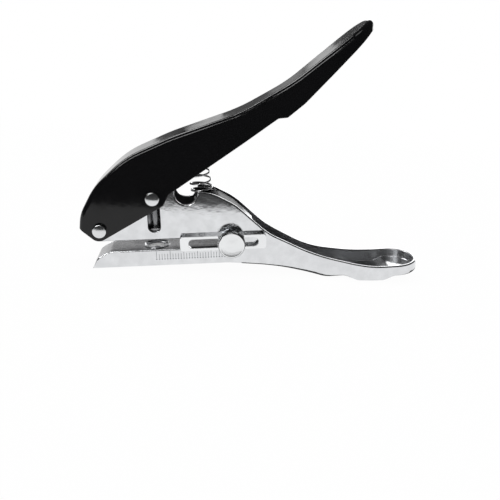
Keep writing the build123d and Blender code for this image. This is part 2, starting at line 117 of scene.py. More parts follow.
@dataclass(frozen=True)
class JawFrame:
    """The tool's own axes: X along the throat, Z square to it, origin on the front pivot's axis."""

    origin: Place
    tilt: float

    @classmethod
    def from_model(cls, frame: dict[str, Any]) -> "JawFrame":
        """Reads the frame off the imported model.

        Args:
            frame: What the loader returned.

        Returns:
            The jaw's frame, with its origin in metres and its tilt in radians.
        """
        pin, plate = middle_of("pivot_pin"), middle_of("die_plate")
        slide = next(joint for joint in frame["joints"] if joint["name"] == "guide_slide")
        return cls((pin[0], plate[1], pin[2]), math.atan2(slide["axis"][2], slide["axis"][0]))

    def turn(self, points: Rows) -> Rows:
        """Turns directions of the jaw's frame into the standing frame.

        Args:
            points: Array whose last axis is x, y, z.

        Returns:
            The same array with its XZ plane turned by the tilt.
        """
        cosine, sine = math.cos(self.tilt), math.sin(self.tilt)
        across, along, up = points[..., 0], points[..., 1], points[..., 2]
        return np.stack([across * cosine - up * sine, along, across * sine + up * cosine], axis=-1)

    def place(self, points_mm: Rows) -> Rows:
        """Puts points of the jaw's frame, in millimetres, into the standing frame.

        Args:
            points_mm: Array whose last axis is x, y, z in millimetres.

        Returns:
            The same points in metres: turned by the tilt, then moved to the origin.
        """
        return self.turn(np.asarray(points_mm, float)) * MILLIMETRE + np.array(self.origin)


# Surfaces from grids


def grid_faces(rows: int, columns: int, closed_rows: bool, closed_columns: bool) -> Rows:
    """Faces of a grid of rows by columns points.

    Face (i, j) joins point (i, j), (i + 1, j), (i + 1, j + 1) and (i, j + 1), and a closed
    direction wraps round to its first point.

    Args:
        rows: Number of rows.
        columns: Number of points in each row.
        closed_rows: Whether the last row joins the first.
        closed_columns: Whether each row is a ring.

    Returns:
        Array of quads as point numbers.
    """
    i = np.arange(rows if closed_rows else rows - 1)
    j = np.arange(columns if closed_columns else columns - 1)
    row, column = np.meshgrid(i, j, indexing="ij")
    next_row, next_column = (row + 1) % rows, (column + 1) % columns
    corners = [
        row * columns + column,
        next_row * columns + column,
        next_row * columns + next_column,
        row * columns + next_column,
    ]
    return np.stack([corner.ravel() for corner in corners], axis=-1)


def round_angles(sides: int) -> Rows:
    """Evenly spaced angles round a circle, one for each side."""
    return np.linspace(0, 2 * np.pi, sides, endpoint=False)


def tube(centres: Rows, radius: float, sides: int) -> tuple[Rows, Rows]:
    """Round tube along a line of points, with a cone to a point at each end.

    The point at angle a of section k is centre k plus radius times (side k times cos a plus up k
    times sin a). The side is the line's direction crossed with Z, and up is square to both.

    Args:
        centres: Points along the line.
        radius: The tube's radius.
        sides: Points round each section.

    Returns:
        The tube's points and its quads.
    """
    ahead = np.gradient(centres, axis=0)
    ahead /= np.linalg.norm(ahead, axis=1, keepdims=True)
    side = np.cross(ahead, np.array([0.0, 0.0, 1.0]))
    side /= np.linalg.norm(side, axis=1, keepdims=True)
    up = np.cross(side, ahead)
    angle = round_angles(sides)[None, :, None]
    ring = np.cos(angle) * side[:, None, :] + np.sin(angle) * up[:, None, :]
    reach = np.ones(len(centres))
    reach[[0, -1]] = 0.0
    points = centres[:, None, :] + radius * reach[:, None, None] * ring
    return points.reshape(-1, 3), grid_faces(len(centres), sides, False, True)


def turned(along: Rows, radius: Rows, sides: int) -> Rows:
    """Points of a surface turned about the Y axis.

    The point at angle a of row (y, r) is (r cos a, y, r sin a), and r may change with the angle.

    Args:
        along: Each row's place y.
        radius: Each row's radius, as a column, or its radius at every angle.
        sides: Points round each row.

    Returns:
        The points, as an array of rows by sides by three.
    """
    angle = round_angles(sides)
    across, up = radius * np.cos(angle), radius * np.sin(angle)
    return np.stack([across, np.broadcast_to(along[:, None], across.shape), up], axis=-1)


def rounded_end(face: float, inward: float, radius: float, crown: float, edge: float, steps: int) -> Rows:
    """Rows of a softly domed end of a pin, from its pole to the full radius.

    The dome is the parabola crown times (r / rim) squared, and the edge is a quarter ellipse from
    the rim to the full radius.

    Args:
        face: Place of the pole along the axis.
        inward: 1 or -1, the way into the metal.
        radius: The end's full radius.
        crown: How far the dome falls from its pole to its rim.
        edge: Radius of the rounded edge.
        steps: Rows in the dome and in the edge.

    Returns:
        Rows of place along the axis and radius.
    """
    rim = radius - edge
    dome = np.linspace(0, 1, steps)
    turn = np.linspace(0, np.pi / 2, steps)[1:]
    inner = np.stack([face + inward * crown * dome**2, rim * dome], axis=-1)
    fall = face + inward * (crown + edge * (1 - np.cos(turn)))
    outer = np.stack([fall, rim + edge * np.sin(turn)], axis=-1)
    return np.concatenate([inner, outer])


def make_piece(name: str, points: Rows, faces: Rows, sharp_deg: float | None) -> bpy.types.Object:
    """Makes a mesh object from whole arrays.

    Args:
        name: The piece's name.
        points: Points in metres, in the standing frame; the last axis is x, y, z.
        faces: Quads as point numbers.
        sharp_deg: Faces shade smoothly across edges that turn by less than this many degrees, and
            with None every face is flat.

    Returns:
        The linked object, at the origin.
    """
    mesh = bpy.data.meshes.new(name)
    rows = np.asarray(points, float).reshape(-1, 3)
    mesh.from_pydata(rows.tolist(), [], np.asarray(faces, int).tolist())
    smooth = sharp_deg is not None
    mesh.polygons.foreach_set("use_smooth", np.full(len(mesh.polygons), smooth))
    mesh.validate()
    welded = bmesh.new()
    welded.from_mesh(mesh)
    bmesh.ops.remove_doubles(welded, verts=welded.verts, dist=WELD)
    bmesh.ops.recalc_face_normals(welded, faces=welded.faces)
    welded.to_mesh(mesh)
    welded.free()
    if smooth:
        mesh.set_sharp_from_angle(angle=math.radians(sharp_deg))
    mesh.update()
    piece = bpy.data.objects.new(name, mesh)
    bpy.context.scene.collection.objects.link(piece)
    return piece


# Shader sheets and groups


class Sheet:
    """A node tree that is written from left to right."""

    def __init__(self, tree: bpy.types.NodeTree) -> None:
        """Keeps the tree and clears it."""
        self.tree = tree
        tree.nodes.clear()

    def put(self, value: Any, target: Socket) -> None:
        """Links or sets one input.

        Args:
            value: A socket, which is linked, or a plain value, which is set.
            target: The input.
        """
        if isinstance(value, Socket):
            self.tree.links.new(value, target)
        else:
            target.default_value = value

    def node(self, kind: str, **settings: Any) -> bpy.types.Node:
        """Adds a node.

        Args:
            kind: The node's type name without its ShaderNode prefix.
            settings: Properties to set on it.

        Returns:
            The new node.
        """
        made = self.tree.nodes.new(f"ShaderNode{kind}")
        for key, value in settings.items():
            setattr(made, key, value)
        return made

    def feed(self, node: bpy.types.Node, **values: Any) -> bpy.types.Node:
        """Sets or links a node's inputs by name.

        Args:
            node: The node that is fed.
            values: Input name, with _ for a space, to a socket or a plain value.

        Returns:
            The same node.
        """
        for key, value in values.items():
            self.put(value, node.inputs[key.replace("_", " ")])
        return node

    def fill(self, node: bpy.types.Node, *values: Any) -> Socket:
        """Sets or links a node's inputs in their order.

        Args:
            node: The node that is fed.
            values: Sockets or plain values for its first inputs.

        Returns:
            The node's first output.
        """
        for target, value in zip(node.inputs, values, strict=False):
            self.put(value, target)
        return node.outputs[0]

    def maths(self, operation: str, first: Any, second: Any = 0.0) -> Socket:
        """Works out one operation on two values, each a socket or a number."""
        return self.fill(self.node("Math", operation=operation), first, second)

    def mean(self, first: Any, second: Any) -> Socket:
        """Half the sum of two values."""
        return self.maths("MULTIPLY", self.maths("ADD", first, second), 0.5)

    def spread(self, value: Any, low: float, high: float, start: float = 0.0, end: float = 1.0) -> Socket:
        """Maps a value from one span to another and holds it there.

        Args:
            value: Socket or number.
            low: The value that becomes the start.
            high: The value that becomes the end.
            start: Result at and before low.
            end: Result at and beyond high.

        Returns:
            The result's socket.
        """
        made = self.node("MapRange", clamp=True)
        self.feed(made, Value=value, From_Min=low, From_Max=high, To_Min=start, To_Max=end)
        return made.outputs[0]

    def blend(self, share: Socket, first: Any, second: Any) -> Socket:
        """Mixes two colours by a share.

        Args:
            share: 0 gives the first colour and 1 the second.
            first: Socket or RGBA.
            second: Socket or RGBA.

        Returns:
            The mixed colour's socket.
        """
        # The Mix node keeps its share at input 0, its colours at 6 and 7 and their mix at output 2.
        made = self.node("Mix", data_type="RGBA")
        for target, value in ((0, share), (6, first), (7, second)):
            self.put(value, made.inputs[target])
        return made.outputs[2]

    def noise(self, vector: Socket, scale: Any, detail: float, rough: float = 0.5) -> Socket:
        """A noise on a vector, as one value about a half."""
        made = self.node("TexNoise")
        return self.feed(made, Vector=vector, Scale=scale, Detail=detail, Roughness=rough).outputs["Fac"]

    def object_place(self) -> Socket:
        """Place of the shaded point in its object's own coordinates."""
        return self.node("TexCoord").outputs["Object"]

    def split(self, vector: Socket) -> Any:
        """Takes a vector apart.

        Args:
            vector: The vector's socket.

        Returns:
            The outputs X, Y and Z.
        """
        made = self.node("SeparateXYZ")
        self.fill(made, vector)
        return made.outputs

    def less(self, vector: Socket, centre: Place) -> Socket:
        """A vector as seen from a centre."""
        return self.fill(self.node("VectorMath", operation="SUBTRACT"), vector, centre)

    def off_axis(self, vector: Socket, first: str, second: str) -> Socket:
        """Distance from an axis: the root of the sum of the other two coordinates' squares.

        Args:
            vector: The vector's socket.
            first: Name of one of the other coordinates.
            second: Name of the other one.

        Returns:
            The distance's socket.
        """
        parts = self.split(vector)
        squares = [self.maths("POWER", parts[name], 2.0) for name in (first, second)]
        return self.maths("SQRT", self.maths("ADD", *squares))

    def leave(self, surface: Socket, kind: str = "OutputMaterial") -> None:
        """Leads a shader to the tree's output."""
        self.feed(self.node(kind), Surface=surface)


class Group:
    """A shared effect: a node group with named inputs and outputs, built once."""

    name = "Group"
    inputs: tuple[tuple[str, str, Any], ...] = ()
    outputs: tuple[tuple[str, str], ...] = ()

    @classmethod
    def tree(cls) -> bpy.types.NodeTree:
        """Finds the group's tree, or builds it the first time.

        Returns:
            The tree, which all its places share.
        """
        found = bpy.data.node_groups.get(cls.name)
        if found is not None:
            return found
        made = bpy.data.node_groups.new(cls.name, "ShaderNodeTree")
        for name, kind, value in cls.inputs:
            socket = made.interface.new_socket(name, in_out="INPUT", socket_type=f"NodeSocket{kind}")
            if value is not None:
                socket.default_value = value
        for name, kind in cls.outputs:
            made.interface.new_socket(name, in_out="OUTPUT", socket_type=f"NodeSocket{kind}")
        sheet = Sheet(made)
        entry = made.nodes.new("NodeGroupInput")
        leave = made.nodes.new("NodeGroupOutput")
        cls.write(sheet, entry.outputs, leave)
        return made

    @classmethod
    def write(cls, sheet: Sheet, given: Any, leave: bpy.types.Node) -> None:
        """Writes the group's nodes; each effect has its own.

        Args:
            sheet: The group's own sheet.
            given: Its inputs.
            leave: Its output node.
        """
        raise NotImplementedError

    @classmethod
    def place(cls, sheet: Sheet, **values: Any) -> Any:
        """Places the group in a material.

        Args:
            sheet: The material's sheet.
            values: The group's inputs, with _ for a space.

        Returns:
            The placed group's outputs.
        """
        made = sheet.node("Group")
        made.node_tree = cls.tree()
        sheet.feed(made, **values)
        return made.outputs


class PolishDrift(Group):
    """Slow waves and fine specks that polishing and plating leave in a metal skin."""

    name = "Polish drift"
    inputs = (
        ("Vector", "Vector", None),
        ("Wave Scale", "Float", 60.0),
        ("Speck Scale", "Float", 2500.0),
        ("Wave Height", "Float", 1.0),
        ("Speck Height", "Float", 0.1),
    )
    outputs = (("Wave", "Float"), ("Speck", "Float"), ("Height", "Float"))
    speck_span: Span = (0.35, 0.65)
    wave_detail, speck_detail, speck_rough = 2.0, 3.0, 0.6

    @classmethod
    def write(cls, sheet: Sheet, given: Any, leave: bpy.types.Node) -> None:
        """Two noises, a slow and a fine one, each as a mask, and their sum as a height.

        Args:
            sheet: The group's own sheet.
            given: Its inputs.
            leave: Its output node.
        """
        slow = sheet.noise(given["Vector"], given["Wave Scale"], cls.wave_detail)
        fine = sheet.noise(given["Vector"], given["Speck Scale"], cls.speck_detail, cls.speck_rough)
        wave = sheet.spread(slow, *NOISE_SPAN)
        speck = sheet.spread(fine, *cls.speck_span)
        high = sheet.maths("MULTIPLY", wave, given["Wave Height"])
        low = sheet.maths("MULTIPLY", speck, given["Speck Height"])
        sheet.feed(leave, Wave=wave, Speck=speck, Height=sheet.maths("ADD", high, low))


class DrawnGrain(Group):
    """Fine lines along one direction, as rolling, grinding and wire drawing leave them."""

    name = "Drawn grain"
    inputs = (
        ("Vector", "Vector", None),
        ("Stretch", "Vector", (40.0, 3000.0, 3000.0)),
        ("Depth", "Float", 1.0),
    )
    outputs = (("Line", "Float"), ("Height", "Float"))
    detail, rough = 4.0, 0.65

    @classmethod
    def write(cls, sheet: Sheet, given: Any, leave: bpy.types.Node) -> None:
        """A noise on the vector times the stretch, so that its cells are long lines.

        Args:
            sheet: The group's own sheet.
            given: Its inputs.
            leave: Its output node.
        """
        scaled = sheet.node("VectorMath", operation="MULTIPLY")
        cells = sheet.fill(scaled, given["Vector"], given["Stretch"])
        line = sheet.spread(sheet.noise(cells, 1.0, cls.detail, cls.rough), *NOISE_SPAN)
        sheet.feed(leave, Line=line, Height=sheet.maths("MULTIPLY", line, given["Depth"]))


class TurnedRings(Group):
    """Fine rings about the Y axis of the vector, as a lathe tool leaves on an end face."""

    name = "Turned rings"
    inputs = (("Vector", "Vector", None), ("Rings", "Float", 9000.0), ("Depth", "Float", 1.0))
    outputs = (("Ring", "Float"), ("Height", "Float"))
    detail, rough = 2.0, 0.6

    @classmethod
    def write(cls, sheet: Sheet, given: Any, leave: bpy.types.Node) -> None:
        """A noise along one line, the distance from the axis.

        Args:
            sheet: The group's own sheet.
            given: Its inputs.
            leave: Its output node.
        """
        far = sheet.off_axis(given["Vector"], "X", "Z")
        noise = sheet.node("TexNoise", noise_dimensions="1D")
        sheet.feed(noise, W=sheet.maths("MULTIPLY", far, given["Rings"]))
        sheet.feed(noise, Scale=1.0, Detail=cls.detail, Roughness=cls.rough)
        ring = sheet.spread(noise.outputs["Fac"], *NOISE_SPAN)
        sheet.feed(leave, Ring=ring, Height=sheet.maths("MULTIPLY", ring, given["Depth"]))


class EdgeRub(Group):
    """Mask of the outer edges, where plating is buffed through and enamel draws thin."""

    name = "Edge rub"
    inputs = (("Vector", "Vector", None), ("Reach", "Float", 0.0003), ("Break Scale", "Float", 900.0))
    outputs = (("Mask", "Float"),)
    turn_span: Span = (0.02, 0.2)
    break_span: Span = (0.35, 0.6)
    least_kept, detail, samples = 0.25, 3.0, 6

    @classmethod
    def write(cls, sheet: Sheet, given: Any, leave: bpy.types.Node) -> None:
        """One minus the product of the rounded and the plain normal, broken up by a noise.

        Args:
            sheet: The group's own sheet.
            given: Its inputs.
            leave: Its output node.
        """
        rounded = sheet.fill(sheet.node("Bevel", samples=cls.samples), given["Reach"])
        match = sheet.node("VectorMath", operation="DOT_PRODUCT")
        sheet.fill(match, rounded, sheet.node("NewGeometry").outputs["Normal"])
        away = sheet.maths("SUBTRACT", 1.0, match.outputs["Value"])
        rubbed = sheet.spread(away, *cls.turn_span)
        noise = sheet.noise(given["Vector"], given["Break Scale"], cls.detail)
        kept = sheet.spread(noise, *cls.break_span, cls.least_kept, 1.0)
        sheet.feed(leave, Mask=sheet.maths("MULTIPLY", rubbed, kept))


class SoftEdge(Group):
    """The surface's normal with its corners rounded, as plating and enamel soften a cut edge."""

    name = "Soft edge"
    inputs = (("Radius", "Float", 0.0004),)
    outputs = (("Normal", "Vector"),)
    samples = 8

    @classmethod
    def write(cls, sheet: Sheet, given: Any, leave: bpy.types.Node) -> None:
        """The bevelled normal at the given radius.

        Args:
            sheet: The group's own sheet.
            given: Its inputs.
            leave: Its output node.
        """
        rounded = sheet.node("Bevel", samples=cls.samples)
        sheet.feed(leave, Normal=sheet.fill(rounded, given["Radius"]))


# Finishes


def shade(colour: Colour, level: float = 1.0) -> tuple[float, float, float, float]:
    """A colour at a level, as RGBA."""
    return (colour[0] * level, colour[1] * level, colour[2] * level, 1.0)


def blank_material(name: str) -> tuple[bpy.types.Material, Sheet]:
    """Makes a material without nodes.

    Args:
        name: The material's name.

    Returns:
        The material and its cleared sheet.
    """
    made = bpy.data.materials.new(name)
    made.use_nodes = True
    return made, Sheet(made.node_tree)


class Patch(Protocol):
    """A part of a skin with its own tone and a least roughness."""

    tone: Colour
    rough: float

    def mask(self, sheet: Sheet, place: Socket) -> Socket:
        """1 on the part and 0 beyond it."""


@dataclass(frozen=True)
class ChannelShade:
    """Painted shade inside the channel: a near-black slab about the middle plane, up to a place along X."""

    middle: float
    half: float
    end: float
    # Near-black tone: painted shade in the channel's recess.
    tone: Colour = (0.03, 0.03, 0.033)
    rough: float = 0.45
    fade: float = 0.004
    side_fade: float = 0.00015

    def mask(self, sheet: Sheet, place: Socket) -> Socket:
        """1 inside the slab and 0 outside it, fading out over a few millimetres before its end.

        Args:
            sheet: The material's sheet.
            place: Object coordinates.

        Returns:
            The mask's socket.
        """
        parts = sheet.split(place)
        aside = sheet.maths("ABSOLUTE", sheet.maths("SUBTRACT", parts["Y"], self.middle))
        within = sheet.spread(aside, self.half, self.half + self.side_fade, 1.0, 0.0)
        before = sheet.spread(parts["X"], self.end - self.fade, self.end, 1.0, 0.0)
        return sheet.maths("MULTIPLY", within, before)


@dataclass(frozen=True)
class DullShadedInnerFaces:
    """Duller plating where no buff reaches, darkened with painted shade, on the faces that look in at the
    middle plane.

    The product of a place and a normal is negative where the face looks back at the plane that the
    The dullness and the painted shade fade in over a span of that product.
    """

    bowl_start: float
    # Darker tone: painted shade on the inner faces; the higher roughness is the duller plating.
    tone: Colour = (0.45, 0.455, 0.465)
    rough: float = 0.32
    span: Span = (-0.003, -0.001)

    def mask(self, sheet: Sheet, place: Socket) -> Socket:
        """1 where the normal points back at the middle plane or, in the bowl, at its start.

        Args:
            sheet: The material's sheet.
            place: Object coordinates.

        Returns:
            The mask's socket.
        """
        spot = sheet.split(place)
        facing = sheet.split(sheet.node("TexCoord").outputs["Normal"])
        across = sheet.maths("MULTIPLY", spot["Y"], facing["Y"])
        beyond = sheet.maths("MAXIMUM", sheet.maths("SUBTRACT", spot["X"], self.bowl_start), 0.0)
        along = sheet.maths("MULTIPLY", beyond, facing["X"])
        return sheet.spread(sheet.maths("ADD", across, along), *self.span, 1.0, 0.0)


@dataclass(frozen=True)
class HighlitBoreWall:
    """The honed wall of an upright bore, with a painted highlight: a near-white tone that stands in for the
    light falling into it.
    """

    centre: Place
    radius: float
    # Near-white tone: painted highlight in the bore; the roughness is the honing.
    tone: Colour = (0.97, 0.97, 0.97)
    rough: float = 0.6
    fade: float = 0.0001

    def mask(self, sheet: Sheet, place: Socket) -> Socket:
        """1 within the radius about the upright through the centre and 0 beyond it."""
        far = sheet.off_axis(sheet.less(place, self.centre), "X", "Y")
        return sheet.spread(far, self.radius, self.radius + self.fade, 1.0, 0.0)


@dataclass(frozen=True)
class KnurlGrooveShade:
    """Painted shade in the grooves of a knurl about an axis along Y.

    It fades in from the crests down to the groove's depth and is gone a little below that, before
    the end faces begin. The shares are of that depth.
    """

    centre: Place
    radius: float
    depth: float = 0.0003
    crest_share: float = 0.2
    floor_share: float = 1.15
    face_share: float = 1.35
    # Near-black tone: painted shade in the grooves.
    tone: Colour = (0.004, 0.004, 0.004)
    rough: float = 0.0

    def mask(self, sheet: Sheet, place: Socket) -> Socket:
        """1 in the grooves and 0 on the crests, from how far a point lies under the full radius.

        Args:
            sheet: The material's sheet.
            place: Object coordinates.

        Returns:
            The mask's socket.
        """
        far = sheet.off_axis(sheet.less(place, self.centre), "X", "Z")
        floor, face = self.radius - self.depth, self.radius - self.depth * self.face_share
        deep = sheet.spread(far, floor, self.radius - self.depth * self.crest_share, 1.0, 0.0)
        outer = sheet.spread(far, face, self.radius - self.depth * self.floor_share)
        return sheet.maths("MULTIPLY", deep, outer)


@dataclass(frozen=True)
class MetalFinish:
    """A bare or plated metal skin.

    The colour runs from dim to full over the slow waves, the roughness from smooth to dull over
    lines and specks, and both heights feed one bump. A centre adds turned rings about it.
    """

    name: str
    tint: Colour
    smooth: float
    dull: float
    dim: float = 0.93
    wave_scale: float = 60.0
    wave_height: float = 1.0
    speck_scale: float = 2500.0
    speck_height: float = 0.1
    stretch: tuple[float, float, float] = (40.0, 3000.0, 3000.0)
    line_depth: float = 0.2
    bump: float = 0.00002
    edge_reach: float = 0.0002
    soften: float = 0.0
    centre: Place | None = None
    ring_depth: float = 0.0
    patches: tuple[Patch, ...] = ()

    def build(self) -> bpy.types.Material:
        """Makes the material.

        Returns:
            The material, with the drift, grain, rings, edges and patches joined in.
        """
        made, sheet = blank_material(self.name)
        place = sheet.object_place()
        drift = PolishDrift.place(
            sheet,
            Vector=place,
            Wave_Scale=self.wave_scale,
            Speck_Scale=self.speck_scale,
            Wave_Height=self.wave_height,
            Speck_Height=self.speck_height,
        )
        grain = DrawnGrain.place(sheet, Vector=place, Stretch=self.stretch, Depth=self.line_depth)
        height = sheet.maths("ADD", drift["Height"], grain["Height"])
        mark = sheet.mean(grain["Line"], drift["Speck"])
        if self.centre is not None:
            seen = sheet.less(place, self.centre)
            rings = TurnedRings.place(sheet, Vector=seen, Depth=self.ring_depth)
            height = sheet.maths("ADD", height, rings["Height"])
            mark = sheet.mean(mark, rings["Ring"])
        edge = EdgeRub.place(sheet, Vector=place, Reach=self.edge_reach)
        skin = sheet.blend(drift["Wave"], shade(self.tint, self.dim), shade(self.tint))
        skin = sheet.blend(edge["Mask"], skin, shade(self.tint))
        worn = sheet.spread(mark, 0.0, 1.0, self.smooth, self.dull)
        # Patches lay their tones over the skin: painted shade inside the channel, on inner faces and in
        # knurl grooves, and a painted highlight in the die's bore.
        for patch in self.patches:
            share = patch.mask(sheet, place)
            skin = sheet.blend(share, skin, shade(patch.tone))
            worn = sheet.maths("MAXIMUM", worn, sheet.maths("MULTIPLY", share, patch.rough))
        bump = sheet.feed(sheet.node("Bump"), Strength=1.0, Distance=self.bump, Height=height)
        if self.soften > 0.0:
            sheet.feed(bump, Normal=SoftEdge.place(sheet, Radius=self.soften)["Normal"])
        body = sheet.node("BsdfPrincipled")
        sheet.feed(body, Base_Color=skin, Metallic=1.0, Roughness=worn, Normal=bump.outputs[0])
        sheet.leave(body.outputs[0])
        return made


@dataclass(frozen=True)
class EnamelFinish:
    """Stoved gloss enamel over steel: a deep colour, orange peel, light dust and thin edges."""

    name: str
    deep: Colour
    thin: Colour
    smooth: float
    dull: float
    gloss: float
    peel_scale: float
    peel_height: float
    bump: float
    edge_reach: float
    soften: float
    speck_scale: float = 4000.0
    dust_span: Span = (0.75, 1.0)
    dust_share: float = 0.08
    dust_level: float = 0.5

    def build(self) -> bpy.types.Material:
        """Makes the material.

        Returns:
            The material, with peel, dust and edge effects joined in.
        """
        made, sheet = blank_material(self.name)
        place = sheet.object_place()
        drift = PolishDrift.place(
            sheet,
            Vector=place,
            Wave_Scale=self.peel_scale,
            Speck_Scale=self.speck_scale,
            Wave_Height=self.peel_height,
            Speck_Height=0.0,
        )
        edge = EdgeRub.place(sheet, Vector=place, Reach=self.edge_reach)
        dusty = sheet.spread(drift["Speck"], *self.dust_span, 0.0, self.dust_share)
        skin = sheet.blend(dusty, shade(self.deep), shade(self.thin, self.dust_level))
        skin = sheet.blend(edge["Mask"], skin, shade(self.thin))
        worn = sheet.spread(drift["Wave"], 0.0, 1.0, self.smooth, self.dull)
        bump = sheet.feed(sheet.node("Bump"), Strength=1.0, Distance=self.bump)
        soft = SoftEdge.place(sheet, Radius=self.soften)
        sheet.feed(bump, Height=drift["Height"], Normal=soft["Normal"])
        body = sheet.node("BsdfPrincipled")
        sheet.feed(body, Base_Color=skin, Roughness=worn, Normal=bump.outputs[0])
        sheet.feed(body, Specular_IOR_Level=self.gloss)
        sheet.leave(body.outputs[0])
        return made


def dress(node: bpy.types.Object, finish: bpy.types.Material) -> None:
    """Gives a piece its finish, through its object's own material slots.

    Args:
        node: The piece.
        finish: The material.
    """
    if not node.material_slots:
        node.data.materials.append(finish)
    for place in node.material_slots:
        place.link = "OBJECT"
        place.material = finish


# New pieces


@dataclass(frozen=True)
class ReturnSpring:
    """The wire spring between body and lever: a leaning helix, closer wound at both ends.

    The pressed share is what is left of its height when the lever is closed; it is not used.
    """

    outer_mm: float = 8.4
    wire_mm: float = 0.7
    turns: float = 8.0
    height_mm: float = 20.4
    centre_mm: float = 37.2
    foot_mm: float = 10.75
    lean_deg: float = 7.0
    end_pitch_mm: float = 1.2
    end_turns: float = 1.5
    pressed_share: float = 0.14
    steps_per_turn: int = 44
    wire_sides: int = 14

    def rise(self, turns: Rows) -> Rows:
        """Height of the wire's centre after each number of turns, closer wound at both ends.

        The pitch is the end pitch plus an open part that grows as a smooth step over the end
        turns; the second half of the coil mirrors the first.

        Args:
            turns: Turns from the foot.

        Returns:
            The heights above the foot, in millimetres.
        """
        half = self.turns / 2
        folded = np.where(turns > half, self.turns - turns, turns)
        left = self.height_mm / 2 - self.end_pitch_mm * half
        open_pitch = left / self.settled(np.array(half))
        height = self.end_pitch_mm * folded + open_pitch * self.settled(folded)
        return np.where(turns > half, self.height_mm - height, height)

    def settled(self, turns: Rows) -> Rows:
        """Turns that count as open: a quartic ease over the end turns, then one for one.

        Args:
            turns: Turns from the nearer end.

        Returns:
            The part of them that is wound at the open pitch.
        """
        share = np.clip(turns / self.end_turns, 0, 1)
        eased = self.end_turns * (share**3 - share**4 / 2)
        return eased + np.maximum(turns - self.end_turns, 0)

    def build(self, jaw: JawFrame) -> bpy.types.Object:
        """Winds the wire.

        After t turns the wire's centre is at x = middle + r cos(2 pi t), y = r sin(2 pi t) and
        z = foot + rise(t), where the middle leans back in x as the coil rises.

        Args:
            jaw: The jaw's frame.

        Returns:
            The spring, which flattens toward its seat as the lever closes.
        """
        turns = np.linspace(0, self.turns, int(self.turns * self.steps_per_turn) + 1)
        angle = 2 * np.pi * turns
        radius = (self.outer_mm - self.wire_mm) / 2
        rise = self.rise(turns)
        middle = self.centre_mm - rise * math.tan(math.radians(self.lean_deg))
        height = self.foot_mm + self.wire_mm / 2 + rise
        line = np.stack([middle + radius * np.cos(angle), radius * np.sin(angle), height], axis=-1)
        points, faces = tube(line, self.wire_mm / 2, self.wire_sides)
        spring = make_piece("return_spring_wire", jaw.place(points), faces, 180.0)
        tint = (0.62, 0.62, 0.63)
        dress(spring, MetalFinish("drawn wire", tint, 0.05, 0.12, line_depth=0.05).build())
        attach(spring, "body")
        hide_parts("return_spring")
        foot = jaw.place(np.array([self.centre_mm, 0.0, self.foot_mm]))
        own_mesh(spring)
        return spring


@dataclass(frozen=True)
class RulerTicks:
    """The millimetre ticks on the near wall, each a thin bar with a dot under its foot."""

    first_mm: float = 19.5
    pitch_mm: float = 1.0
    count: int = 26
    long_every: int = 5
    foot_mm: float = -11.9
    short_mm: float = 1.55
    long_mm: float = 2.7
    width_mm: float = 0.17
    dot_mm: float = 0.42
    dot_drop_mm: float = 0.62
    proud_mm: float = 0.02
    wall_mm: float = -6.6

    def build(self, jaw: JawFrame) -> bpy.types.Object:
        """Lays the ticks.

        Every bar and dot is the unit box, whose foot is at 0 and top at 1, scaled by its width,
        depth and length and moved to its place.

        Args:
            jaw: The jaw's frame.

        Returns:
            All the ticks as one piece.
        """
        number = np.arange(self.count)
        bars = np.where(number % self.long_every == 0, self.long_mm, self.short_mm)
        length = np.concatenate([bars, np.full(self.count, self.dot_mm)])
        foot = np.repeat([self.foot_mm, self.foot_mm - self.dot_drop_mm], self.count)
        along = self.first_mm + self.pitch_mm * np.tile(number, 2)
        width = np.repeat([self.width_mm, self.dot_mm], self.count)
        size = np.stack([width, np.full_like(length, self.proud_mm), length], axis=-1)
        start = np.stack([along, np.full_like(length, self.wall_mm), foot], axis=-1)
        unit = np.array([[x, y, z] for x in (-0.5, 0.5) for y in (0.0, -1.0) for z in (0.0, 1.0)])
        points = start[:, None, :] + unit[None, :, :] * size[:, None, :]
        box = np.array([[0, 2, 3, 1], [4, 5, 7, 6], [0, 1, 5, 4], [2, 6, 7, 3], [0, 4, 6, 2], [1, 3, 7, 5]])
        faces = box[None, :, :] + len(unit) * np.arange(len(length))[:, None, None]
        ticks = make_piece("ruler_ticks", jaw.place(points), faces.reshape(-1, 4), None)
        dress(ticks, MetalFinish("etched tick", (0.26, 0.27, 0.29), 0.3, 0.5).build())
        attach(ticks, "body")
        return ticks


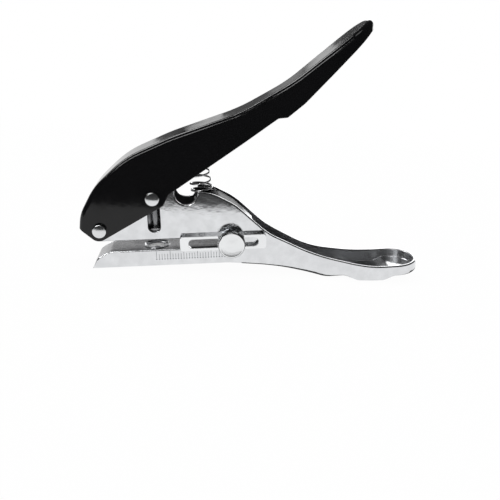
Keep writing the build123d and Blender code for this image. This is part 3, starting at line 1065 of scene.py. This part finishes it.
@dataclass(frozen=True)
class DishedDie:
    """The cutting die: a ring with a narrow flat rim, a dished mouth and a relieved bore."""

    centre_mm: float = 19.5
    top_mm: float = -8.4
    height_mm: float = 4.5
    outer_mm: float = 9.7
    mouth_mm: float = 9.45
    bore_mm: float = 6.1
    relief_mm: float = 6.8
    land_mm: float = 2.0
    dish_mm: float = 0.8
    dish_power: float = 5.0
    round_mm: float = 0.12
    bore_edge_mm: float = 0.08
    sides: int = 96
    dish_rows: int = 17
    edge_rows: int = 5
    sharp_deg: float = 25.0

    def section(self) -> Rows:
        """Rows of radius and height round the ring's section.

        They run from the bore's land up the dish, over the rim and its quarter-round edge, down
        the outside and back up the relief. The dish's depth is its full depth times one less the
        fifth power of the way out, so that its floor is nearly level and its wall is steep.

        Returns:
            The rows, in millimetres, of which the last joins the first.
        """
        share = np.linspace(0, 1, self.dish_rows)
        bore, outer, relief = self.bore_mm / 2, self.outer_mm / 2, self.relief_mm / 2
        across = bore + (self.mouth_mm / 2 - bore) * share
        depth = self.dish_mm * (1 - share**self.dish_power)
        dish = np.stack([across, self.top_mm - depth], axis=-1)
        turn = np.linspace(0, np.pi / 2, self.edge_rows)
        fall = self.top_mm - self.round_mm * (1 - np.cos(turn))
        edge = np.stack([outer - self.round_mm * (1 - np.sin(turn)), fall], axis=-1)
        base, ledge = self.top_mm - self.height_mm, self.top_mm - self.land_mm
        rest = np.array([[outer, base], [relief, base], [relief, ledge], [bore, ledge]])
        return np.concatenate([dish, edge, rest])

    def finish(self, jaw: JawFrame) -> bpy.types.Material:
        """Makes its polished steel, with the bore's wall honed and given a painted highlight.

        Args:
            jaw: The jaw's frame.

        Returns:
            The material.
        """
        height = self.top_mm - self.dish_mm - self.land_mm / 4
        centre = jaw.place(np.array([self.centre_mm, 0.0, height]))
        reach = (self.bore_mm / 2 + self.bore_edge_mm) * MILLIMETRE
        wall = HighlitBoreWall(tuple(float(value) for value in centre), reach)
        tint = (0.55, 0.56, 0.57)
        return MetalFinish("polished die", tint, 0.10, 0.18, line_depth=0.0, patches=(wall,)).build()

    def build(self, jaw: JawFrame) -> bpy.types.Object:
        """Turns the section about the punch's line.

        The point at angle a of row (r, z) is (centre + r cos a, r sin a, z).

        Args:
            jaw: The jaw's frame.

        Returns:
            The die, which stands for its node.
        """
        rows = self.section()
        points = turned(rows[:, 1], rows[:, :1], self.sides)[..., [0, 2, 1]]
        points[..., 0] += self.centre_mm
        faces = grid_faces(len(rows), self.sides, True, True)
        die = make_piece("die_bush_dished", jaw.place(points), faces, self.sharp_deg)
        dress(die, self.finish(jaw))
        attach(die, "body")
        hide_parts("die_bush")
        return die


@dataclass(frozen=True)
class KnurledKnob:
    """The round knob: straight knurl between two chamfers and a faced end with a raised rim."""

    centre_mm: Span = (47.0, -6.2)
    radius_mm: float = 5.0
    ribs: int = 42
    rib_depth_mm: float = 0.3
    chamfer_mm: float = 0.42
    chamfer_knurl_share: float = 0.3
    rim_mm: float = 0.35
    dish_mm: float = 0.05
    slope_mm: float = 0.12
    lip_mm: float = 0.01
    flat_mm: float = 0.06
    break_mm: float = 0.05
    break_fall_mm: float = 0.03
    hub_share: float = 0.4
    sides_per_rib: int = 8
    sharp_deg: float = 35.0

    def rows(self, near: float, far: float) -> Rows:
        """Rows of place along Y, radius and share of the knurl.

        They run from the middle of the dished face over its rim, the chamfer, the knurled side
        and the same chamfer at the back to the middle of the back.

        Args:
            near: Place of the face, in millimetres.
            far: Place of the back, in millimetres.

        Returns:
            The rows, in millimetres.
        """
        rim = self.radius_mm - self.chamfer_mm
        inner = rim - self.rim_mm
        floor, half = near + self.dish_mm, self.chamfer_mm / 2
        return np.array(
            [
                [floor, 0.0, 0.0],
                [floor, inner / 2, 0.0],
                [floor, inner - self.slope_mm, 0.0],
                [near + self.lip_mm, inner, 0.0],
                [near, inner + self.flat_mm, 0.0],
                [near, rim - self.break_mm, 0.0],
                [near + self.break_fall_mm, rim, 0.0],
                [near + half, rim + half, self.chamfer_knurl_share],
                [near + self.chamfer_mm, self.radius_mm, 1.0],
                [(near + far) / 2, self.radius_mm, 1.0],
                [far - self.chamfer_mm, self.radius_mm, 1.0],
                [far - half, rim + half, self.chamfer_knurl_share],
                [far - self.break_fall_mm, rim, 0.0],
                [far, rim - self.break_mm, 0.0],
                [far, rim * self.hub_share, 0.0],
                [far, 0.0, 0.0],
            ]
        )

    def finish(self) -> bpy.types.Material:
        """Makes its chrome, with turned rings on the face and painted shade in the knurl's grooves.

        Returns:
            The material.
        """
        centre = middle_of("thumb_knob")
        return MetalFinish(
            "knob chrome",
            (0.86, 0.87, 0.88),
            smooth=0.10,
            dull=0.22,
            line_depth=0.0,
            centre=centre,
            ring_depth=0.3,
            patches=(KnurlGrooveShade(centre, self.radius_mm * MILLIMETRE),),
        ).build()

    def build(self, jaw: JawFrame) -> bpy.types.Object:
        """Turns and knurls the knob.

        The radius at angle a is the row's radius less its share times the rib depth times
        (1 - cos(ribs times a)) / 2, which gives rounded ribs.

        Args:
            jaw: The jaw's frame.

        Returns:
            The knob, which stands for its node.
        """
        low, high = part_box("thumb_knob")
        near, far = ((place - jaw.origin[1]) / MILLIMETRE for place in (low[1], high[1]))
        rows = self.rows(near, far)
        sides = self.ribs * self.sides_per_rib
        groove = self.rib_depth_mm * (1 - np.cos(self.ribs * round_angles(sides))) / 2
        points = turned(rows[:, 0], rows[:, 1:2] - rows[:, 2:3] * groove, sides)
        points += np.array([self.centre_mm[0], 0.0, self.centre_mm[1]])
        faces = grid_faces(len(rows), sides, False, True)
        knob = make_piece("thumb_knob_knurled", jaw.place(points), faces, self.sharp_deg)
        dress(knob, self.finish())
        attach(knob, "thumb_screw")
        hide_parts("thumb_knob")
        return knob


@dataclass(frozen=True)
class HeadedPin:
    """A turned pin with a softly domed head on the near side and a rounded far end."""

    node: str
    shaft_mm: float
    head_mm: float = 5.0
    head_height_mm: float = 1.8
    crown_mm: float = 0.22
    edge_mm: float = 0.42
    end_crown_mm: float = 0.1
    end_edge_mm: float = 0.3
    head_rows: int = 10
    end_rows: int = 8
    sides: int = 64
    sharp_deg: float = 50.0

    def finish(self) -> bpy.types.Material:
        """Makes its turned steel, ringed about its own axis.

        Returns:
            The material.
        """
        return MetalFinish(
            f"turned steel {self.node}",
            (0.74, 0.75, 0.76),
            smooth=0.10,
            dull=0.20,
            line_depth=0.0,
            centre=middle_of(self.node),
            ring_depth=0.12,
        ).build()

    def build(self, body: str, finish: bpy.types.Material) -> bpy.types.Object:
        """Turns the pin's surface: domed head, shoulder, shaft and rounded end.

        Args:
            body: The CAD body it rides on.
            finish: Its steel.

        Returns:
            The pin, which stands for its node.
        """
        low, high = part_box(self.node)
        near, far = low[1] / MILLIMETRE, high[1] / MILLIMETRE
        head, shaft = self.head_mm / 2, self.shaft_mm / 2
        under = near + self.head_height_mm
        face = rounded_end(near, 1, head, self.crown_mm, self.edge_mm, self.head_rows)
        shoulder = np.array([[under, head], [under, shaft]])
        end = rounded_end(far, -1, shaft, self.end_crown_mm, self.end_edge_mm, self.end_rows)
        rows = np.concatenate([face, shoulder, end[::-1]]) * MILLIMETRE
        middle = middle_of(self.node)
        points = turned(rows[:, 0], rows[:, 1:], self.sides) + np.array([middle[0], 0.0, middle[2]])
        faces = grid_faces(len(rows), self.sides, False, True)
        pin = make_piece(f"{self.node}_turned", points, faces, self.sharp_deg)
        dress(pin, finish)
        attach(pin, body)
        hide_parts(self.node)
        return pin


# Sub-assemblies


@dataclass
class Assembly:
    """The solids of one body and the new pieces that ride on it."""

    jaw: JawFrame
    nodes: dict[str, bpy.types.Object]

    def coat(self, names: tuple[str, ...], finish: bpy.types.Material, words: str) -> Made:
        """Gives carried-over solids one finish.

        Args:
            names: Their nodes.
            finish: The material.
            words: How they are made, for the report.

        Returns:
            Each solid with the words.
        """
        for name in names:
            dress(self.nodes[name], finish)
        return [(self.nodes[name], words) for name in names]

    def pinned(self, pin: HeadedPin, body: str, collar: str) -> Made:
        """Makes a headed pin and gives its collar the same steel.

        Args:
            pin: The pin.
            body: The CAD body that both ride on.
            collar: The collar's node.

        Returns:
            Pin and collar with the words for the report.
        """
        steel = pin.finish()
        made = [(pin.build(body, steel), "turned, with a domed head")]
        return made + self.coat((collar,), steel, "pressed collar")

    def dress_all(self) -> Made:
        """Gives every piece its finish; each assembly has its own."""
        raise NotImplementedError


@dataclass
class BodyAssembly(Assembly):
    """Chromed channel body with its die, punch guide, spring seat, spring, nut and ruler ticks."""

    wall_clear: float = 0.00005
    bowl_start: float = 0.045

    def chrome(self) -> bpy.types.Material:
        """Makes the body's chrome: rolled sheet, duller and darkened with painted shade on the inward faces
        and in the bowl, and painted shade inside the channel.

        Returns:
            The material.
        """
        low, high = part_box("spring_seat")
        middle, half = (low[1] + high[1]) / 2, (high[1] - low[1]) / 2
        return MetalFinish(
            "body chrome",
            (0.74, 0.75, 0.765),
            smooth=0.05,
            dull=0.11,
            dim=0.90,
            wave_scale=300.0,
            wave_height=0.8,
            speck_scale=2200.0,
            speck_height=0.14,
            line_depth=0.06,
            soften=0.00045,
            patches=(DullShadedInnerFaces(self.bowl_start), ChannelShade(middle, half - self.wall_clear, high[0])),
        ).build()

    def tool_steel(self) -> bpy.types.Material:
        """Makes the ground steel, with its lines along the jaw.

        Returns:
            The material.
        """
        return MetalFinish(
            "ground die steel",
            (0.40, 0.40, 0.41),
            smooth=0.20,
            dull=0.34,
            dim=0.7,
            wave_scale=180.0,
            stretch=(50.0, 1500.0, 1500.0),
            line_depth=0.6,
        ).build()

    def dress_all(self) -> Made:
        """Gives the body's solids their finishes and adds the die, the spring and the ticks.

        Returns:
            The pieces with the words for the report.
        """
        nut = MetalFinish("small chrome", (0.84, 0.85, 0.86), 0.06, 0.14, speck_height=0.04).build()
        ground = ("die_plate", "punch_guide_block", "punch_guide_bush")
        made = self.coat(("body_channel", "spring_seat"), self.chrome(), "pressed sheet, chromed")
        made += self.coat(ground, self.tool_steel(), "ground tool steel")
        made += [(DishedDie().build(self.jaw), "ground ring with a dished mouth")]
        made += self.coat(("clamp_nut",), nut, "chromed nut")
        made += [(ReturnSpring().build(self.jaw), "wound wire")]
        made += [(RulerTicks().build(self.jaw), "millimetre ticks")]
        return made


@dataclass
class PunchAssembly(Assembly):
    """The hardened punch with its drive pin and collar."""

    def dress_all(self) -> Made:
        """Gives the punch, pin and collar their finishes.

        Returns:
            The pieces with the words for the report.
        """
        upright = (3000.0, 3000.0, 60.0)
        steel = MetalFinish("punch steel", (0.30, 0.305, 0.315), 0.2, 0.35, stretch=upright).build()
        made = self.coat(("punch",), steel, "ground punch")
        return made + self.pinned(HeadedPin("drive_pin", 4.2), "punch", "drive_pin_collar")


@dataclass
class LeverAssembly(Assembly):
    """The black lever with the parts that move with it."""

    def enamel(self) -> bpy.types.Material:
        """Makes the lever's black gloss enamel.

        Returns:
            The material.
        """
        return EnamelFinish(
            "black gloss enamel",
            deep=(0.004, 0.004, 0.0045),
            thin=(0.06, 0.06, 0.065),
            smooth=0.05,
            dull=0.12,
            gloss=0.32,
            peel_scale=220.0,
            peel_height=1.0,
            bump=0.00001,
            edge_reach=0.00025,
            soften=0.00035,
        ).build()

    def dress_all(self) -> Made:
        """Gives the lever, its pin and the inner parts their finishes.

        Returns:
            The pieces with the words for the report.
        """
        spacer = MetalFinish("spacer steel", (0.62, 0.63, 0.65), 0.18, 0.32).build()
        made = self.coat(("lever_shell",), self.enamel(), "pressed sheet, black enamel")
        made += self.pinned(HeadedPin("pivot_pin", 3.6), "lever", "pivot_pin_collar")
        return made + self.coat(("pivot_spacer", "spring_locator"), spacer, "turned steel")


@dataclass
class GuideAssembly(Assembly):
    """The sliding depth guide and the thumb screw that holds it."""

    def dress_all(self) -> Made:
        """Gives the guide, knob, stud and washer their finishes.

        Returns:
            The pieces with the words for the report.
        """
        tint = (0.86, 0.87, 0.88)
        plate = MetalFinish("guide chrome", tint, 0.06, 0.14, speck_height=0.05, soften=0.00025)
        small = MetalFinish("screw chrome", (0.82, 0.83, 0.84), 0.08, 0.16)
        made = self.coat(("depth_guide",), plate.build(), "polished sheet")
        made += [(KnurledKnob().build(self.jaw), "turned and knurled")]
        return made + self.coat(("thumb_stud", "knob_washer"), small.build(), "chromed")


# Studio


@dataclass(frozen=True)
class Softbox:
    """An area lamp that is aimed at the tool and that polished surfaces don't show."""

    name: str
    place: Place
    size: Span
    power: float
    aim: Place = (0.0, 0.0, 0.04)

    def build(self) -> bpy.types.Object:
        """Makes the lamp.

        Returns:
            The lamp's object.
        """
        lamp = bpy.data.lights.new(self.name, "AREA")
        lamp.shape = "RECTANGLE"
        lamp.size, lamp.size_y = self.size
        lamp.energy = self.power
        made = bpy.data.objects.new(self.name, lamp)
        bpy.context.scene.collection.objects.link(made)
        made.location = self.place
        made.visible_glossy = False
        made.rotation_mode = "QUATERNION"
        ahead = Vector(self.aim) - Vector(self.place)
        made.rotation_quaternion = ahead.to_track_quat("-Z", "Y")
        return made


@dataclass(frozen=True)
class Card:
    """A plain card out of the picture that only polished surfaces show, as a studio hangs it."""

    name: str
    corners: tuple[Place, ...]
    glow: float

    @classmethod
    def upright(cls, name: str, across: Span, along: Span, up: Span, glow: float) -> "Card":
        """A card that runs across and climbs, from the first place along to the second.

        Args:
            name: The card's name.
            across: Its span along X.
            along: The places along Y of its foot and its head.
            up: Its span along Z.
            glow: How bright it is.

        Returns:
            The card, not yet built.
        """
        (left, right), (foot, head), (low, high) = across, along, up
        corners = ((left, foot, low), (right, foot, low), (right, head, high), (left, head, high))
        return cls(name, corners, glow)

    @classmethod
    def level(cls, name: str, across: Span, along: Span, height: float, glow: float) -> "Card":
        """A card that lies flat at a height.

        Args:
            name: The card's name.
            across: Its span along X.
            along: Its span along Y.
            height: Its place along Z.
            glow: How bright it is.

        Returns:
            The card, not yet built.
        """
        (left, right), (near, far) = across, along
        flat = ((left, near), (right, near), (right, far), (left, far))
        return cls(name, tuple((x, y, height) for x, y in flat), glow)

    @classmethod
    def side(cls, name: str, place: float, along: Span, up: Span, glow: float) -> "Card":
        """A card that stands square to X at a place.

        Args:
            name: The card's name.
            place: Its place along X.
            along: Its span along Y.
            up: Its span along Z.
            glow: How bright it is.

        Returns:
            The card, not yet built.
        """
        (near, far), (low, high) = along, up
        flat = ((near, low), (far, low), (far, high), (near, high))
        return cls(name, tuple((place, y, z) for y, z in flat), glow)

    def build(self) -> bpy.types.Object:
        """Makes the card, which neither lights nor shades anything.

        Returns:
            The card.
        """
        card = make_piece(self.name, np.array(self.corners), np.array([[0, 1, 2, 3]]), None)
        felt, sheet = blank_material(f"{self.name} felt")
        tone = (self.glow, self.glow, self.glow, 1.0)
        glowing = sheet.feed(sheet.node("Emission"), Color=tone, Strength=1.0)
        sheet.leave(glowing.outputs[0])
        dress(card, felt)
        card.visible_camera = False
        card.visible_diffuse = False
        card.visible_shadow = False
        return card


@dataclass(frozen=True)
class Studio:
    """White floor and surround, soft lamps, and bright and dark cards out of the picture."""

    floor_reach: float = 12.0
    floor_colour: Colour = (0.88, 0.88, 0.88)
    fibre_scale: float = 900.0
    fibre_level: float = 0.99
    paper_rough: float = 0.9
    fill_level: float = 0.5
    near_lift: float = 0.97
    near_reach: float = 0.16
    far_reach: float = 0.4

    def seen(self, sheet: Sheet) -> Socket:
        """1 for rays from the camera, from a mirror or through glass, and 0 for the rest.

        Args:
            sheet: The sheet of the material or the world.

        Returns:
            The mask's socket.
        """
        path = sheet.node("LightPath").outputs
        first = sheet.maths("MAXIMUM", path["Is Camera Ray"], path["Is Glossy Ray"])
        return sheet.maths("MAXIMUM", first, path["Is Transmission Ray"])

    def build_floor(self) -> bpy.types.Object:
        """Lays the floor: it keeps the tool's shadow and fades to white away from it.

        Returns:
            The floor.
        """
        reach = self.floor_reach
        corners = np.array([[-reach, -reach, 0], [reach, -reach, 0], [reach, reach, 0], [-reach, reach, 0]])
        floor = make_piece("floor", corners, np.array([[0, 1, 2, 3]]), None)
        made, sheet = blank_material("floor paper")
        place = sheet.object_place()
        fibre = sheet.noise(place, self.fibre_scale, 2.0)
        dim = shade(self.floor_colour, self.fibre_level)
        tone = sheet.blend(fibre, dim, shade(self.floor_colour))
        paper = sheet.node("BsdfPrincipled")
        sheet.feed(paper, Base_Color=tone, Roughness=self.paper_rough, Specular_IOR_Level=0.0)
        white = sheet.feed(sheet.node("Emission"), Color=(1, 1, 1, 1), Strength=1.0)
        far = sheet.node("VectorMath", operation="LENGTH")
        sheet.fill(far, place)
        span = (self.near_reach, self.far_reach)
        lift = sheet.spread(far.outputs["Value"], *span, self.near_lift, 1.0)
        share = sheet.maths("MULTIPLY", self.seen(sheet), lift)
        mixed = sheet.fill(sheet.node("MixShader"), share, paper.outputs[0], white.outputs[0])
        sheet.leave(mixed)
        dress(floor, made)
        return floor

    def build_world(self) -> None:
        """Makes the white surround and its softer fill light."""
        world = bpy.data.worlds.new("surround")
        bpy.context.scene.world = world
        world.use_nodes = True
        sheet = Sheet(world.node_tree)
        fill = sheet.feed(sheet.node("Background"), Color=(1, 1, 1, 1), Strength=self.fill_level)
        white = sheet.feed(sheet.node("Background"), Color=(1, 1, 1, 1), Strength=1.0)
        outputs = (fill.outputs[0], white.outputs[0])
        mixed = sheet.fill(sheet.node("MixShader"), self.seen(sheet), *outputs)
        sheet.leave(mixed, "OutputWorld")

    def build_lamps(self) -> None:
        """Hangs the softboxes, each with its place, its size in metres and its power in watts."""
        boxes = (
            Softbox("front_strip", (-0.05, -0.28, 0.62), (1.1, 0.07), 1.4),
            Softbox("top_strip", (0.05, 0.16, 0.62), (1.1, 0.10), 1.6),
            Softbox("left_softbox", (-0.75, -0.15, 0.35), (0.3, 0.5), 0.6),
        )
        for box in boxes:
            box.build()

    def build_cards(self) -> None:
        """Hangs the cards, each with its spans in metres and its glow.

        The dark ones stand behind, before, over and beside the tool, and one just under it gives the bottom
        bends a painted reflection of the shade beneath. The bright ones give the rims their white lines,
        the lever's bend its light bands and the bowl its patch.
        """
        cards = (
            Card.upright("back_panel_left", (-0.6, -0.081), (0.3, 0.3), (0.085, 0.109), 0.9),
            Card.upright("back_gap", (-0.081, -0.067), (0.3, 0.3), (0.085, 0.109), 0.02),
            Card.upright("back_panel_middle", (-0.067, -0.036), (0.3, 0.3), (0.085, 0.109), 0.9),
            Card.upright("back_panel_right", (-0.036, 0.024), (0.3, 0.3), (0.0, 0.109), 0.14),
            Card.upright("back_shelf", (-0.6, 0.024), (0.3, 0.3), (0.109, 0.122), 0.45),
            Card.upright("back_card_left", (-0.6, 0.024), (0.3, 0.5), (0.122, 0.7), 0.06),
            Card.upright("back_patch", (-0.12, 0.02), (0.298, 0.298), (0.125, 0.165), 0.95),
            Card.upright("back_pillar", (-0.2, 0.08), (0.88, 0.88), (0.0, 0.7), 0.12),
            Card.upright("back_window", (0.08, 1.2), (0.9, 0.9), (0.0, 0.5), 2.4),
            Card.upright("back_card_right", (0.0, 1.2), (0.9, 0.6), (0.5, 0.8), 0.06),
            Card.upright("front_card", (-1.2, 1.2), (-1.2, -1.2), (0.0, 0.85), 0.03),
            Card.level("ceiling_card", (-1.2, 1.2), (-1.2, 0.6), 0.8, 0.03),
            Card.level("bench_card", (-1.2, 1.2), (-1.2, -0.09), 0.001, 0.06),
            # Dark card just under the tool, seen only in reflections: a painted reflection of the shade
            # beneath it.
            Card.level("under_card", (-0.004, 0.07), (-0.006, 0.008), 0.0003, 0.05),
            Card.side("left_card", -1.2, (-1.2, 0.6), (0.0, 0.8), 0.04),
            Card.side("right_card", 1.2, (-1.2, 0.9), (0.0, 0.8), 0.04),
            Card.upright("front_patch", (-0.05, 0.004), (-0.6, -0.6), (0.18, 0.30), 0.8),
            Card.level("ceiling_strip", (-0.3, 0.004), (-0.5, -0.15), 0.79, 2.5),
            Card.upright("low_strip", (-0.6, -0.15), (-0.45, -0.38), (0.30, 0.40), 9.0),
            Card.upright("high_strip", (-0.6, -0.15), (0.24, 0.14), (0.30, 0.40), 9.0),
        )
        for card in cards:
            card.build()

    def build(self) -> None:
        """Builds floor, surround, lamps and cards, and keeps the plain view transform."""
        self.build_floor()
        self.build_world()
        self.build_lamps()
        self.build_cards()
        bpy.context.scene.view_settings.view_transform = "Standard"


@dataclass(frozen=True)
class ProductCamera:
    """The camera at the photograph's angle, given in the jaw's own frame."""

    azimuth_deg: float = -3.5004
    elevation_deg: float = 19.8914
    roll_deg: float = -1.2224
    focal_px: float = 661.8479
    frame_px: float = 500.0
    anchor_px: Span = (98.6746, 232.4241)
    anchor_mm: Place = (0.0, -9.9, 0.0)
    depth_mm: float = 235.0
    sensor_mm: float = 36.0
    clip_m: Span = (0.01, 100.0)

    def axes(self) -> tuple[Rows, Rows, Rows]:
        """Works out the camera's axes: turned by its azimuth, then its elevation, then its roll.

        Returns:
            Right, up and ahead in the jaw's frame.
        """
        angles = (self.azimuth_deg, self.elevation_deg, self.roll_deg)
        az, el, roll = (math.radians(value) for value in angles)
        ahead = np.array([-math.sin(az) * math.cos(el), math.cos(az) * math.cos(el), -math.sin(el)])
        level = np.array([math.cos(az), math.sin(az), 0.0])
        above = np.cross(level, ahead)
        right = math.cos(roll) * level + math.sin(roll) * above
        up = -math.sin(roll) * level + math.cos(roll) * above
        return right, up, ahead

    def build(self, jaw: JawFrame) -> bpy.types.Object:
        """Makes the camera and its place.

        The anchor point lies at the given depth along the ray of its pixel, which gives the
        camera's place; the axes give its turn.

        Args:
            jaw: The jaw's frame.

        Returns:
            The camera, which is the scene's own.
        """
        right, up, ahead = self.axes()
        middle = self.frame_px / 2
        across, down = self.anchor_px[0] - middle, self.anchor_px[1] - middle
        ray = ahead * self.focal_px + right * across - up * down
        eye = np.array(self.anchor_mm) - ray / (ray @ ahead) * self.depth_mm
        lens = bpy.data.cameras.new("product_camera")
        lens.sensor_width = self.sensor_mm
        lens.lens = self.focal_px / self.frame_px * self.sensor_mm
        lens.clip_start, lens.clip_end = self.clip_m
        made = bpy.data.objects.new("product_camera", lens)
        bpy.context.scene.collection.objects.link(made)
        columns = [jaw.turn(axis) for axis in (right, up, -ahead)] + [jaw.place(eye)]
        made.matrix_world = Matrix(np.vstack([np.stack(columns, axis=-1), [0, 0, 0, 1]]).tolist())
        bpy.context.scene.camera = made
        return made


# The whole scene


def main() -> None:
    """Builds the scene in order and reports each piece."""
    logging.basicConfig(level=logging.INFO, format="%(name)s %(message)s")
    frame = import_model()
    jaw = JawFrame.from_model(frame)
    ProductCamera().build(jaw)
    Studio().build()
    nodes = frame["nodes"]
    for assembly in (BodyAssembly, PunchAssembly, LeverAssembly, GuideAssembly):
        for piece, words in assembly(jaw, nodes).dress_all():
            REPORT.info("%s: %s", piece.name, words)
    bpy.context.view_layer.update()


if __name__ == "__main__":
    main()
